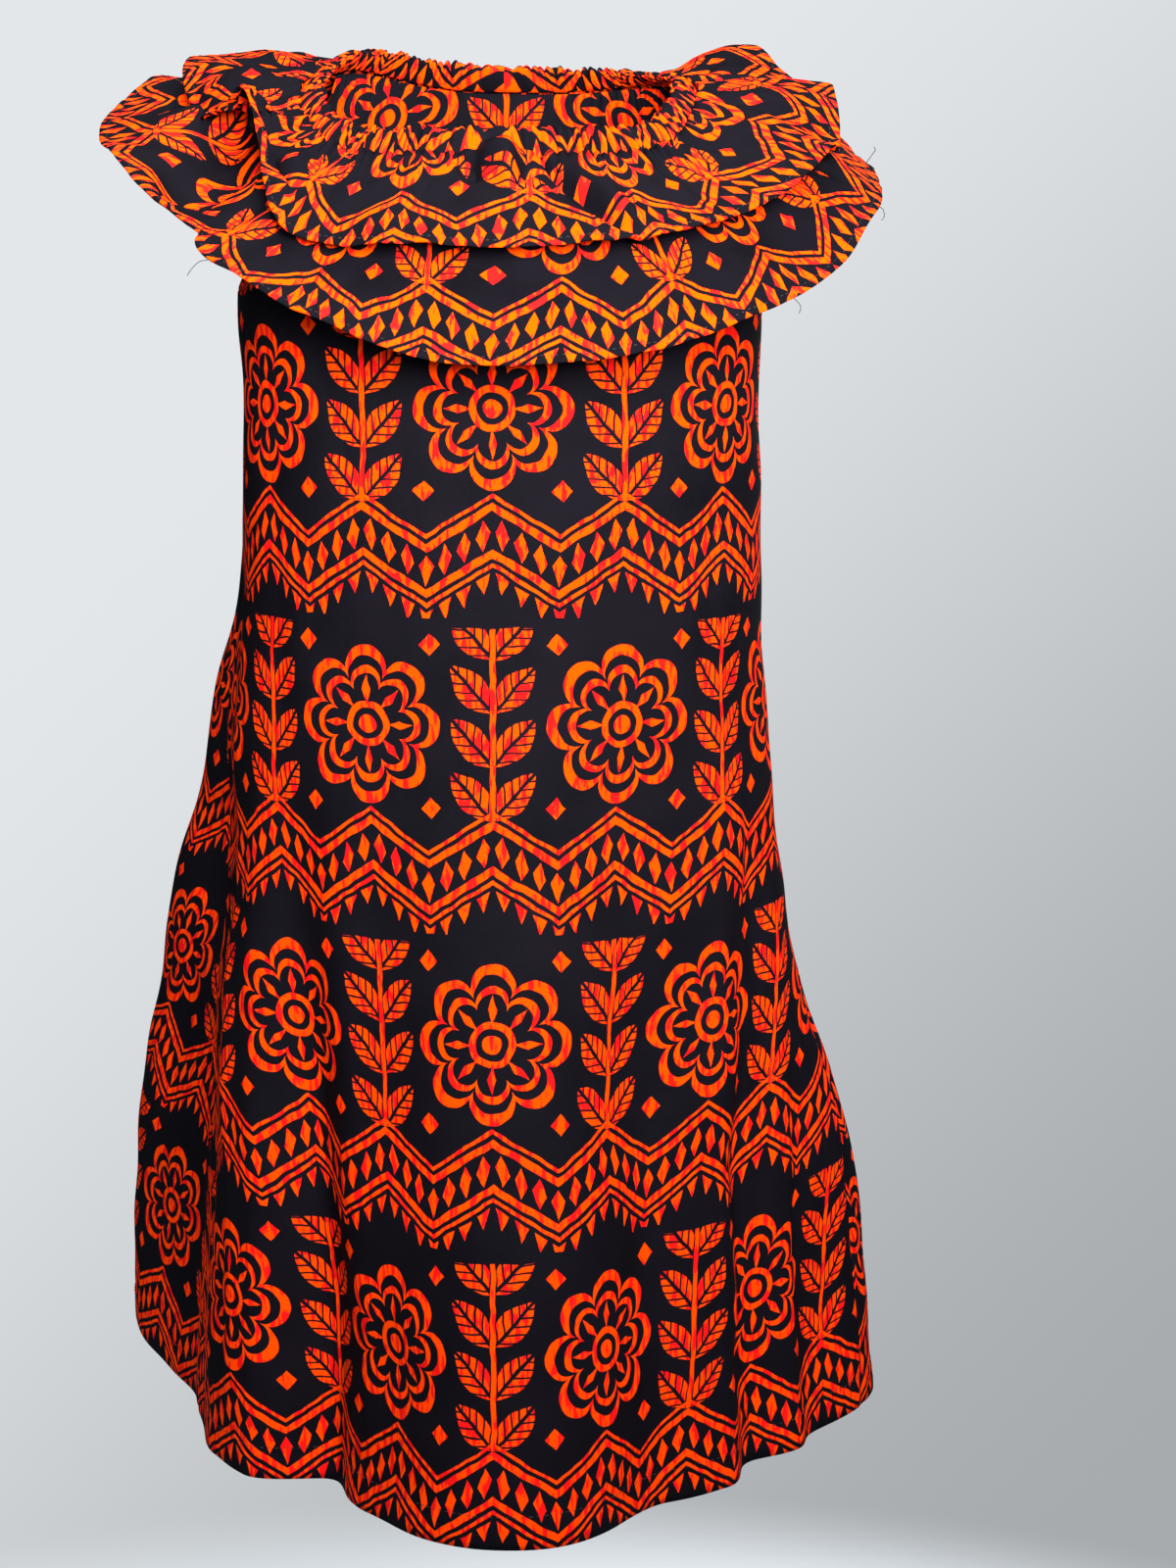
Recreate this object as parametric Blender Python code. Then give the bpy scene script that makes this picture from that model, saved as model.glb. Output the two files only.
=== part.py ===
"""A child's A-line dress with an elastic neckline and a frill of two tiers.

The dress hangs as it is worn: open at the neck, at both armholes and at the hem.
Metres, +Z up. The front faces -Y. The origin is the middle of the neck opening, level with
the top of the shoulders. A bearing is an angle round the body: 0 at the front, 90 at +X.
"""

import math

import bmesh
import bpy
from mathutils import Vector

CLOTH = 0.0012
SEAM_GAP = 0.0003
STEP = 1e-4  # a short move along a surface, used to find how it lies
TURN = 0.5  # a small turn in degrees, for the same use

# Neckline band: a folded casing with the elastic inside it
BAND_THICKNESS = 0.0030
BAND_GATHERS = 96
BAND_RIPPLE = 0.0008
BAND_COLUMNS = 2 * BAND_GATHERS
BAND_CLEARANCE = 1.5 * SEAM_GAP  # from the band's foot to what is sewn into it
# Cross-section of the band: share of its height, share of its thickness
BAND_PROFILE = ((0.0, 0.0), (0.15, -0.5), (1.0, -0.5), (1.0, 0.0), (0.7, 0.5), (0.15, 0.5))

# Frill tiers: strips gathered into the lower edge of the band
FRILL_PLEATS = 36
PLEAT_HEIGHT = 0.0014
PLEAT_END = 0.6  # the share of a tier's depth at which its gathers have opened out
FRILL_COLUMNS = 4 * FRILL_PLEATS
LAYER_STEP = CLOTH + 1.5 * SEAM_GAP  # from one layer to the next in the gathered seam
UPPER_ROWS = 5
LOWER_ROWS = 6

# Front and back panels
UNDERARM = -0.080
SKIRT_LENGTH = 0.459  # along the cloth, from the underarm to the hem
PANEL_COLUMNS = 40
SKIRT_ROWS = 12
YOKE_ROWS = 4
ROUNDING = 0.90  # 1 is an ellipse, and less is squarer

GROUND_COLOUR = (0.016, 0.013, 0.022)
PRINT_COLOUR = (0.90, 0.13, 0.012)
BODY_PRINT_SHARE = 0.40  # how much of the ground the print covers
FRILL_PRINT_SHARE = 0.45
BAND_PRINT_SHARE = 0.30
ROUGHNESS = 0.75

DIRECTIONS = (0, 45, 90, 135, 180, 225, 270, 315, 360)

# Rings of the neckline and the frill, from the neck outwards: share of the tier's depth,
# half_width, front, back, squareness, shift towards +X, heights. The heights go round from the
# front by 45 degrees at a time, turning towards +X.
BAND_TOP = (0.0, 0.0670, 0.0660, 0.0600, 0.62, 0.0,
            (-0.020, -0.018, 0.000, 0.005, 0.009, 0.014, 0.001, -0.018))
BAND_FOOT = (0.0, 0.0755, 0.0710, 0.0675, 0.64, 0.0,
             (-0.031, -0.028, -0.006, 0.002, 0.000, 0.008, -0.004, -0.028))

LOWER_TIER = (
    (0.00, *BAND_FOOT[1:]),
    (0.32, 0.1005, 0.0900, 0.0880, 0.74, -0.0010,
     (-0.055, -0.048, -0.013, -0.003, -0.022, 0.004, -0.008, -0.046)),
    (0.66, 0.1270, 0.1080, 0.1080, 0.84, -0.0020,
     (-0.080, -0.066, -0.025, -0.011, -0.050, 0.002, -0.012, -0.057)),
    (1.00, 0.1500, 0.1230, 0.1250, 0.92, -0.0030,
     (-0.1035, -0.082, -0.038, -0.022, -0.080, -0.003, -0.0155, -0.063)),
)
UPPER_TIER = (
    (0.00, *BAND_FOOT[1:]),
    (0.45, 0.1000, 0.0925, 0.0900, 0.72, 0.0,
     (-0.048, -0.042, -0.006, 0.007, -0.013, 0.010, -0.002, -0.040)),
    (1.00, 0.1285, 0.1090, 0.1090, 0.84, 0.0010,
     (-0.064, -0.050, -0.014, 0.004, -0.040, 0.008, -0.004, -0.048)),
)

# Folds of each tier: bearing, half_width in degrees, rise and reach at the free edge, share
# of the depth at which the fold starts
UPPER_FOLDS = (
    (-58, 22, 0.0080, -0.0250, 0.25),
    (-67, 11, 0.0260, 0.0020, 0.10),
    (-81, 8, -0.0050, 0.0010, 0.35),
    (-99, 15, 0.0110, -0.0020, 0.20),
    (-135, 16, 0.0030, 0.0040, 0.30),
    (-165, 13, 0.0020, 0.0050, 0.30),
    (14, 8, 0.0015, 0.0020, 0.10),
    (60, 10, 0.0040, 0.0020, 0.30),
    (80, 9, -0.0060, 0.0010, 0.35),
    (94, 9, 0.0130, 0.0010, 0.20),
    (107, 8, -0.0050, -0.0040, 0.30),
    (129, 13, 0.0130, -0.0060, 0.15),
    (163, 13, 0.0040, 0.0050, 0.30),
)
LOWER_FOLDS = (
    (-40, 6, -0.0040, -0.0020, 0.45),
    (-62, 22, 0.0090, -0.0020, 0.55),
    (-115, 14, 0.0050, 0.0000, 0.35),
    (-150, 16, 0.0010, 0.0050, 0.35),
    (30, 12, -0.0010, -0.0020, 0.40),
    (70, 10, 0.0030, 0.0000, 0.50),
    (118, 14, 0.0050, 0.0000, 0.35),
    (155, 16, 0.0010, 0.0050, 0.35),
)

# Body of the dress without its folds: height, half_width, front, back
BODY = (
    (UNDERARM, 0.1015, 0.0850, 0.0760),
    (-0.154, 0.1005, 0.0915, 0.0770),
    (-0.243, 0.1050, 0.0980, 0.0910),
    (-0.341, 0.1130, 0.1030, 0.1070),
    (-0.438, 0.1195, 0.1060, 0.1200),
    (-0.540, 0.1255, 0.1080, 0.1320),
)

# Folds of the skirt: bearing at the hem, bearing where it starts, half_width in degrees,
# reach at the hem, height where it starts, height where it is full
SKIRT_FOLDS = (
    (2, 2, 27, 0.0420, -0.150, -0.540),
    (-36, -48, 16, -0.0200, -0.200, -0.500),
    (-84, -78, 19, -0.0110, -0.220, -0.480),
    (57, 66, 15, -0.0190, -0.180, -0.480),
    (97, 92, 22, 0.0290, -0.290, -0.490),
    (138, 138, 22, 0.0320, -0.200, -0.540),
    (178, 178, 20, 0.0240, -0.220, -0.540),
    (-122, -108, 29, 0.0680, -0.120, -0.490),
)

# Armhole edge: share of the way from the underarm to the neckline, bearing of the edge
ARMHOLE = (
    (0.00, 90.0),
    (0.12, 82.0),
    (0.35, 70.0),
    (0.70, 59.0),
    (1.00, 54.0),
)


def eased(share):
    """0 to 1 with a soft start and a soft end."""
    share = min(1.0, max(0.0, share))
    return share * share * (3 - 2 * share)


def through(places, values, place, loop=False):
    """A smooth curve through a table's values, read at one place. A loop's ends share a slope."""
    place = min(max(place, places[0]), places[-1])
    i = max(k for k in range(len(places) - 1) if places[k] <= place)
    gaps = [places[k + 1] - places[k] for k in range(len(places) - 1)]
    slopes = [(values[k + 1] - values[k]) / gaps[k] for k in range(len(gaps))]

    def tangent(k):
        if 0 < k < len(gaps):
            return (slopes[k - 1] * gaps[k] + slopes[k] * gaps[k - 1]) / (gaps[k - 1] + gaps[k])
        if loop:
            return (slopes[0] + slopes[-1]) / 2
        return slopes[min(k, len(gaps) - 1)]

    u = (place - places[i]) / gaps[i]
    start, end = tangent(i) * gaps[i], tangent(i + 1) * gaps[i]
    return (values[i] * (1 + 2 * u) * (1 - u) ** 2 + start * u * (1 - u) ** 2
            + values[i + 1] * u * u * (3 - 2 * u) + end * u * u * (u - 1))


def round_the_body(bearing, half_width, front, back, squareness):
    """A point of a rounded outline in plan, at a bearing in degrees."""
    side, ahead = math.sin(math.radians(bearing)), math.cos(math.radians(bearing))
    depth = front if ahead > 0 else back
    return (math.copysign(half_width * abs(side) ** squareness, side),
            -math.copysign(depth * abs(ahead) ** squareness, ahead))


def nearness(bearing, middle, half_width):
    """1 at a fold's middle, falling softly to 0 at its half width."""
    away = abs((bearing - middle + 180) % 360 - 180) / half_width
    return 0.5 + 0.5 * math.cos(math.pi * away) if away < 1 else 0.0


def outwards(bearing):
    """The level direction away from the middle, at a bearing."""
    return Vector((math.sin(math.radians(bearing)), -math.cos(math.radians(bearing)), 0))


def ring_point(ring, bearing):
    """A point of a ring of the neckline or the frill."""
    _, half_width, front, back, squareness, shift, heights = ring
    x, y = round_the_body(bearing, half_width, front, back, squareness)
    height = through(DIRECTIONS, (*heights, heights[0]), bearing % 360, loop=True)
    return Vector((x + shift, y, height))


def tier_point(rings, bearing, along):
    """A point of a tier before its folds: along is 0 at the band and 1 at the free edge."""
    points = [ring_point(ring, bearing) for ring in rings]
    places = [ring[0] for ring in rings]
    return Vector([through(places, [p[axis] for p in points], along) for axis in range(3)])


def lifted(surface, bearing, along, lift):
    """The point of a surface moved off it by lift, outwards and upwards."""
    here = surface(bearing, along)
    ahead = surface(bearing + TURN, along) - surface(bearing - TURN, along)
    down = surface(bearing, along + STEP) - surface(bearing, max(0.0, along - STEP))
    return here + down.cross(ahead).normalized() * lift


def body_size(height):
    """Half width, front and back of the body without its folds, at a height."""
    places = [-row[0] for row in BODY]
    return [through(places, [row[k] for row in BODY], -height) for k in (1, 2, 3)]


def body_point(bearing, height):
    """A point of the body of the dress at or below the underarm."""
    x, y = round_the_body(bearing, *body_size(height), ROUNDING)
    reach = 0.0
    for at_hem, at_start, half_width, depth, start, full in SKIRT_FOLDS:
        grown = eased((start - height) / (start - full))
        middle = at_start + (at_hem - at_start) * grown
        reach += depth * grown * nearness(bearing, middle, half_width)
    return Vector((x, y, height)) + outwards(bearing) * reach


def hem_height(bearing):
    """Where the hem hangs: a column that leans out further ends higher."""
    lean = (body_point(bearing, UNDERARM - SKIRT_LENGTH) - body_point(bearing, UNDERARM)).to_2d()
    return UNDERARM - math.sqrt(SKIRT_LENGTH ** 2 - lean.length_squared)


def seam_ring(bearing):
    """The line at which the panels meet the neckline band, one layer inside the frill."""
    return lifted(lambda b, a: tier_point(LOWER_TIER, b, a), bearing, 0.0, -LAYER_STEP)


def panel_point(middle, across, up):
    """A point of a panel: across runs from -1 to 1 between its sides, and up from -1 at the hem
    through 0 at the underarm to 1 at the neckline."""
    edge = through([row[0] for row in ARMHOLE], [row[1] for row in ARMHOLE], max(0.0, up))
    bearing = middle + across * edge
    if up <= 0:
        point = body_point(bearing, UNDERARM + up * (UNDERARM - hem_height(bearing)))
    else:
        foot, seam = body_point(bearing, UNDERARM), seam_ring(bearing)
        point = foot.lerp(seam, up * (1 - BAND_CLEARANCE / (seam - foot).length))
    side_seam = outwards(middle + 90 * across).cross(Vector((0, 0, 1)))
    return point + side_seam * (across * SEAM_GAP / 2)


def sheet(name, columns, rows, place, closed=False):
    """A flat grid of cloth, each of its points sent to place(across, down) with both from 0 to 1."""
    grid = bmesh.new()
    bmesh.ops.create_grid(grid, x_segments=columns, y_segments=rows, size=0.5)
    for corner in grid.verts:
        corner.co = place(corner.co.x + 0.5, corner.co.y + 0.5)
    if closed:
        bmesh.ops.remove_doubles(grid, verts=grid.verts, dist=STEP / 10)
    mesh = bpy.data.meshes.new(name)
    grid.to_mesh(mesh)
    grid.free()
    made = bpy.data.objects.new(name, mesh)
    bpy.context.scene.collection.objects.link(made)
    return made


def finish_cloth(made, material, walled=True):
    """Gives a sheet its wall and its material, and shades it smooth."""
    made.data.materials.append(material)
    made.data.shade_smooth()
    if walled:
        wall = made.modifiers.new("wall", "SOLIDIFY")
        wall.thickness = CLOTH
        wall.offset = 0.0
        wall.use_rim = True


def make_material(name, print_share):
    """Printed cotton in the mean colour of its ground and its print."""
    mean = [ground + (ink - ground) * print_share for ground, ink in zip(GROUND_COLOUR, PRINT_COLOUR)]
    material = bpy.data.materials.new(name)
    material.use_nodes = True
    shader = material.node_tree.nodes["Principled BSDF"]
    shader.inputs["Base Color"].default_value = (*mean, 1)
    shader.inputs["Roughness"].default_value = ROUGHNESS
    shader.inputs["Metallic"].default_value = 0
    material.diffuse_color = (*mean, 1)
    return material


def make_panel(name, middle, material):
    """The front or the back of the dress, from the hem to the neckline, with its armhole edges."""
    rows = SKIRT_ROWS + YOKE_ROWS

    def place(across, up):
        row = up * rows - SKIRT_ROWS
        return panel_point(middle, 2 * across - 1, row / (SKIRT_ROWS if row < 0 else YOKE_ROWS))

    finish_cloth(sheet(name, PANEL_COLUMNS, rows, place), material)


def make_tier(name, rings, folds, layer, rows, middle, material):
    """Half of a frill tier, from shoulder to shoulder. The layer counts from the panel outwards."""
    _, seam_radius, *_ = rings[0]
    half = 90 - math.degrees(SEAM_GAP / 2 / seam_radius)

    def base(bearing, along):
        return tier_point(rings, bearing, along)

    def place(across, down):
        bearing = middle + (2 * across - 1) * half
        depth = (base(bearing, 1) - base(bearing, 0)).length
        along = max(down, BAND_CLEARANCE / depth)
        gather = 1 + math.sin(math.radians(bearing) * FRILL_PLEATS)
        lift = layer * LAYER_STEP + PLEAT_HEIGHT * gather * (1 - eased(along / PLEAT_END))
        point = lifted(base, bearing, along, lift)
        for fold, half_width, rise, reach, start in folds:
            grown = nearness(bearing, fold, half_width) * eased((along - start) / (1 - start))
            point += (outwards(bearing) * reach + Vector((0, 0, rise))) * grown
        return point

    finish_cloth(sheet(name, FRILL_COLUMNS // 2, rows, place), material)


def make_band(material):
    """The gathered neckline band, one closed ring with the elastic in it."""

    def base(bearing, along):
        return ring_point(BAND_TOP, bearing).lerp(ring_point(BAND_FOOT, bearing), along)

    def place(across, down):
        bearing = 360 * across
        along, side = BAND_PROFILE[round(down * len(BAND_PROFILE)) % len(BAND_PROFILE)]
        gather = math.cos(math.radians(bearing) * BAND_GATHERS)
        ripple = BAND_RIPPLE * (0.5 + 2 * side)  # most on the outer face, least on the inner
        return lifted(base, bearing, along, side * BAND_THICKNESS + ripple * gather)

    made = sheet("neck_band", BAND_COLUMNS, len(BAND_PROFILE), place, closed=True)
    finish_cloth(made, material, walled=False)


def main():
    for old in list(bpy.data.objects):
        bpy.data.objects.remove(old)
    body_cloth = make_material("body_cotton", BODY_PRINT_SHARE)
    frill_cloth = make_material("frill_cotton", FRILL_PRINT_SHARE)
    band_cloth = make_material("elastic_band_cotton", BAND_PRINT_SHARE)
    for side, middle in (("front", 0), ("back", 180)):
        make_panel(f"{side}_panel", middle, body_cloth)
        make_tier(f"{side}_lower_frill", LOWER_TIER, LOWER_FOLDS, 0, LOWER_ROWS, middle, frill_cloth)
        make_tier(f"{side}_upper_frill", UPPER_TIER, UPPER_FOLDS, 1, UPPER_ROWS, middle, frill_cloth)
    make_band(band_cloth)


main()
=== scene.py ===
import math

import bmesh
import bpy
import numpy as np
from mathutils import Matrix, Vector


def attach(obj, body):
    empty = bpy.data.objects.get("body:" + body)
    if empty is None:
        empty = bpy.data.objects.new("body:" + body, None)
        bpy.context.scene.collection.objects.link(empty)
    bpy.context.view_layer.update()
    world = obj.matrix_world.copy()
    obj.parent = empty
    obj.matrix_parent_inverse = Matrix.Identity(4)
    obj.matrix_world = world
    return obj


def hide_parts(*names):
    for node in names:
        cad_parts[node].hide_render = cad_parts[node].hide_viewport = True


# A child's A-line cotton dress with an elastic neckline and a frill of two tiers.
# Metres, +Z up, and the front faces -Y. A bearing is an angle round the body in degrees:
# 0 at the front and 90 at +X. A piece of cloth is first worked out as a lattice of places,
# rows down the cloth and columns round the body, and then woven onto a grid. A folded hem has
# rows of its own, which run back up on the inner side.

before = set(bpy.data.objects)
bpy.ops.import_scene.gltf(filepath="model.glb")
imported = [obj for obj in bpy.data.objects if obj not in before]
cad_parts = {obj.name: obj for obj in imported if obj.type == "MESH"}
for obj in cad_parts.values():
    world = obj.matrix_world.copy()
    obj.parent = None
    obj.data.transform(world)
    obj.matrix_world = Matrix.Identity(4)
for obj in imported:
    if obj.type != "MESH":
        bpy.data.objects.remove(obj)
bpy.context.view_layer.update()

# Cloth and sewing
CLOTH = 0.0005
FOLD_GAP = 0.0009  # between the middles of two layers of a folded hem
BODY_HEM = 0.012
FRILL_HEM = 0.0035
ARMHOLE_HEM = 0.006
BODY_STITCHES = 0.0108  # from the fold of the hem
FRILL_STITCHES = 0.0030  # from the free edge
SEAM_DIP = 0.0006
SEAM_DIP_WIDTH = 0.004
SEAM_CALM = 0.025  # creases run out over this distance before a side seam
THREAD = 0.00017
STITCH_LIFT = 0.3  # of the thread's thickness

# Soft unevenness: the height and the size of large swells, then of small ones
BODY_UNEVENNESS = ((0.0011, 0.090), (0.0004, 0.034))
FRILL_UNEVENNESS = ((0.0010, 0.045), (0.00035, 0.016))

# Small steps that hems and stitches press into the cloth
BODY_HEM_STEP = 0.0003
ARMHOLE_HEM_STEP = 0.0004
FRILL_HEM_STEP = 0.00025
FRILL_PUCKER = 0.00022
PANEL_GATHERS = 0.6  # how far the panels take part in the gathers of the seam

# The forms of the CAD solids, repeated here. The last two rows of UPPER_FOLDS and SKIRT_FOLDS
# and the rounded foot of ARMHOLE are additions to them.
CAD_CLOTH = 0.0012
SEAM_GAP = 0.0003
LAYER_STEP = CAD_CLOTH + 1.5 * SEAM_GAP
BAND_CLEARANCE = 1.5 * SEAM_GAP
STEP = 1e-4  # a short move along a surface, used to find how it lies
TURN = 0.5  # a small turn in degrees, for the same use
UNDERARM = -0.080
SKIRT_LENGTH = 0.459
ROUNDING = 0.90
DIRECTIONS = (0, 45, 90, 135, 180, 225, 270, 315, 360)

# Rings from the neck outwards: share of the tier's depth, half_width, front, back, squareness,
# shift towards +X, heights from the front round by 45 degrees at a time
BAND_TOP = (0.0, 0.0670, 0.0660, 0.0600, 0.62, 0.0,
            (-0.020, -0.018, 0.000, 0.005, 0.009, 0.014, 0.001, -0.018))
BAND_FOOT = (0.0, 0.0755, 0.0710, 0.0675, 0.64, 0.0,
             (-0.031, -0.028, -0.006, 0.002, 0.000, 0.008, -0.004, -0.028))
LOWER_TIER = (
    (0.00, *BAND_FOOT[1:]),
    (0.32, 0.1005, 0.0900, 0.0880, 0.74, -0.0010,
     (-0.055, -0.048, -0.013, -0.003, -0.022, 0.004, -0.008, -0.046)),
    (0.66, 0.1270, 0.1080, 0.1080, 0.84, -0.0020,
     (-0.080, -0.066, -0.025, -0.011, -0.050, 0.002, -0.012, -0.057)),
    (1.00, 0.1500, 0.1230, 0.1250, 0.92, -0.0030,
     (-0.1035, -0.082, -0.038, -0.022, -0.080, -0.003, -0.0155, -0.063)),
)
UPPER_TIER = (
    (0.00, *BAND_FOOT[1:]),
    (0.45, 0.1000, 0.0925, 0.0900, 0.72, 0.0,
     (-0.048, -0.042, -0.006, 0.007, -0.013, 0.010, -0.002, -0.040)),
    (1.00, 0.1285, 0.1090, 0.1090, 0.84, 0.0010,
     (-0.064, -0.050, -0.014, 0.004, -0.040, 0.008, -0.004, -0.048)),
)

# Folds of each tier: bearing, half_width in degrees, rise and reach at the free edge, share
# of the depth at which the fold starts
UPPER_FOLDS = (
    (-58, 22, 0.0080, -0.0250, 0.25),
    (-67, 11, 0.0260, 0.0020, 0.10),
    (-81, 8, -0.0050, 0.0010, 0.35),
    (-99, 15, 0.0110, -0.0020, 0.20),
    (-135, 16, 0.0030, 0.0040, 0.30),
    (-165, 13, 0.0020, 0.0050, 0.30),
    (14, 8, 0.0015, 0.0020, 0.10),
    (60, 10, 0.0040, 0.0020, 0.30),
    (80, 9, -0.0060, 0.0010, 0.35),
    (94, 9, 0.0130, 0.0010, 0.20),
    (107, 8, -0.0050, -0.0040, 0.30),
    (129, 13, 0.0130, -0.0060, 0.15),
    (163, 13, 0.0040, 0.0050, 0.30),
    (94, 9, -0.0055, -0.0020, 0.20),
    (129, 13, -0.0025, 0.0000, 0.15),
)
LOWER_FOLDS = (
    (-40, 6, -0.0040, -0.0020, 0.45),
    (-62, 22, 0.0090, -0.0020, 0.55),
    (-115, 14, 0.0050, 0.0000, 0.35),
    (-150, 16, 0.0010, 0.0050, 0.35),
    (30, 12, -0.0010, -0.0020, 0.40),
    (70, 10, 0.0030, 0.0000, 0.50),
    (118, 14, 0.0050, 0.0000, 0.35),
    (155, 16, 0.0010, 0.0050, 0.35),
)

# Body without its folds: height, half_width, front, back
BODY = (
    (UNDERARM, 0.1015, 0.0850, 0.0760),
    (-0.154, 0.1005, 0.0915, 0.0770),
    (-0.243, 0.1050, 0.0980, 0.0910),
    (-0.341, 0.1130, 0.1030, 0.1070),
    (-0.438, 0.1195, 0.1060, 0.1200),
    (-0.540, 0.1255, 0.1080, 0.1320),
)

# Folds of the skirt: bearing at the hem, bearing where it starts, half_width in degrees,
# reach at the hem, height where it starts, height where it is full
SKIRT_FOLDS = (
    (2, 2, 27, 0.0420, -0.150, -0.540),
    (-36, -48, 16, -0.0200, -0.200, -0.500),
    (-84, -78, 19, -0.0110, -0.220, -0.480),
    (57, 66, 15, -0.0190, -0.180, -0.480),
    (97, 92, 22, 0.0290, -0.290, -0.490),
    (138, 138, 22, 0.0320, -0.200, -0.540),
    (178, 178, 20, 0.0240, -0.220, -0.540),
    (-122, -108, 29, 0.0680, -0.120, -0.490),
    (-88, -84, 26, 0.0120, -0.250, -0.500),
    (58, 62, 18, 0.0080, -0.220, -0.480),
)
# Side edge of a panel at the armhole: how far up the yoke, and bearing from the panel's middle
ARMHOLE = ((0.00, 90.0), (0.02, 86.5), (0.06, 83.2), (0.12, 79.8), (0.35, 69.5), (0.70, 59.0),
           (1.00, 54.0))

# Lattices
BODY_COLUMNS = 216
YOKE_ROWS = 36
SKIRT_ROWS = 138
FRILL_COLUMNS = 1040
UPPER_ROWS = 28
LOWER_ROWS = 34
BAND_COLUMNS = 1400
BAND_SIDES = 26

# Cut of the casing's flat cloth: width and length
CASING_CUT = (0.72, 0.024)


# Curves and rings

def eased(share):
    """0 to 1 with a soft start and a soft end."""
    share = np.clip(share, 0.0, 1.0)
    return share * share * (3 - 2 * share)


def through(places, values, place, loop=False):
    """A smooth curve through a table's values, read at many places. A loop's ends share a slope."""
    places = np.asarray(places, float)
    place = np.clip(place, places[0], places[-1])
    values = np.asarray(values, float)
    if values.ndim == 1:
        values = np.repeat(values[:, None], place.size, axis=1)
    gaps = np.diff(places)[:, None]
    slopes = np.diff(values, axis=0) / gaps
    tangents = np.empty_like(values)
    tangents[1:-1] = (slopes[:-1] * gaps[1:] + slopes[1:] * gaps[:-1]) / (gaps[:-1] + gaps[1:])
    tangents[0], tangents[-1] = slopes[0], slopes[-1]
    if loop:
        tangents[0] = tangents[-1] = (slopes[0] + slopes[-1]) / 2
    i = np.clip(np.searchsorted(places, place, side="right") - 1, 0, len(gaps) - 1)
    here = np.arange(place.size)
    gap = gaps[i, 0]
    u = (place - places[i]) / gap
    return (values[i, here] * (1 + 2 * u) * (1 - u) ** 2 + tangents[i, here] * gap * u * (1 - u) ** 2
            + values[i + 1, here] * u * u * (3 - 2 * u)
            + tangents[i + 1, here] * gap * u * u * (u - 1))


def round_the_body(bearing, half_width, front, back, squareness):
    """Points of a rounded outline in plan, at bearings in degrees."""
    side, ahead = np.sin(np.radians(bearing)), np.cos(np.radians(bearing))
    depth = np.where(ahead > 0, front, back)
    return (np.sign(side) * half_width * np.abs(side) ** squareness,
            -np.sign(ahead) * depth * np.abs(ahead) ** squareness)


def nearness(bearing, middle, half_width):
    """1 at a fold's middle, falling softly to 0 at its half width."""
    away = np.abs((bearing - middle + 180) % 360 - 180) / half_width
    return np.where(away < 1, 0.5 + 0.5 * np.cos(np.pi * np.minimum(away, 1)), 0.0)


def outwards(bearing):
    """The level direction away from the middle, at bearings."""
    turn = np.radians(bearing)
    return np.stack([np.sin(turn), -np.cos(turn), np.zeros_like(turn)], axis=1)


def ring_point(ring, bearing):
    """Points of a ring of the neckline or the frill."""
    _, half_width, front, back, squareness, shift, heights = ring
    x, y = round_the_body(bearing, half_width, front, back, squareness)
    height = through(DIRECTIONS, (*heights, heights[0]), bearing % 360, loop=True)
    return np.stack([x + shift, y, height], axis=1)


def tier_point(rings, bearing, along):
    """Points of a tier before its folds: along is 0 at the band and 1 at the free edge."""
    points = np.stack([ring_point(ring, bearing) for ring in rings])
    places = [ring[0] for ring in rings]
    return np.stack([through(places, points[:, :, axis], along) for axis in range(3)], axis=1)


def unit(vectors):
    """Vectors made one long."""
    return vectors / np.maximum(np.linalg.norm(vectors, axis=-1, keepdims=True), 1e-12)


def body_point(bearing, height):
    """Points of the body of the dress at or below the underarm."""
    places = [-row[0] for row in BODY]
    sizes = [through(places, [row[k] for row in BODY], -height) for k in (1, 2, 3)]
    x, y = round_the_body(bearing, *sizes, ROUNDING)
    reach = np.zeros_like(bearing)
    for at_hem, at_start, half_width, depth, start, full in SKIRT_FOLDS:
        grown = eased((start - height) / (start - full))
        middle = at_start + (at_hem - at_start) * grown
        reach += depth * grown * nearness(bearing, middle, half_width)
    return np.stack([x, y, height], axis=1) + outwards(bearing) * reach[:, None]


def hem_height(bearing):
    """Where the hem hangs: a column that leans out further ends higher."""
    foot = body_point(bearing, np.full_like(bearing, UNDERARM - SKIRT_LENGTH))
    lean = (foot - body_point(bearing, np.full_like(bearing, UNDERARM)))[:, :2]
    return UNDERARM - np.sqrt(SKIRT_LENGTH ** 2 - (lean ** 2).sum(axis=1))


def seam_ring(bearing):
    """The line at which the panels meet the neckline band, one layer inside the frill."""
    start = np.zeros_like(bearing)
    here = tier_point(LOWER_TIER, bearing, start)
    ahead = (tier_point(LOWER_TIER, bearing + TURN, start)
             - tier_point(LOWER_TIER, bearing - TURN, start))
    down = tier_point(LOWER_TIER, bearing, start + STEP) - here
    return here - unit(np.cross(down, ahead)) * LAYER_STEP


def side_edge(up):
    """The bearing of a panel's side edge from its middle, at places up the panel."""
    return through([row[0] for row in ARMHOLE], [row[1] for row in ARMHOLE], np.maximum(0.0, up))


def panel_point(middle, across, up):
    """Points of a panel: across runs from -1 to 1 between its sides, and up from -1 at the hem
    through 0 at the underarm to 1 at the neckline."""
    bearing = middle + across * side_edge(up)
    below = body_point(bearing, UNDERARM + np.minimum(0.0, up) * (UNDERARM - hem_height(bearing)))
    seam = seam_ring(bearing)
    gap = BAND_CLEARANCE / np.linalg.norm(seam - below, axis=1)
    yoke = below + (seam - below) * (up * (1 - gap))[:, None]
    return np.where((up > 0)[:, None], yoke, below)


# Cloth

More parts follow.
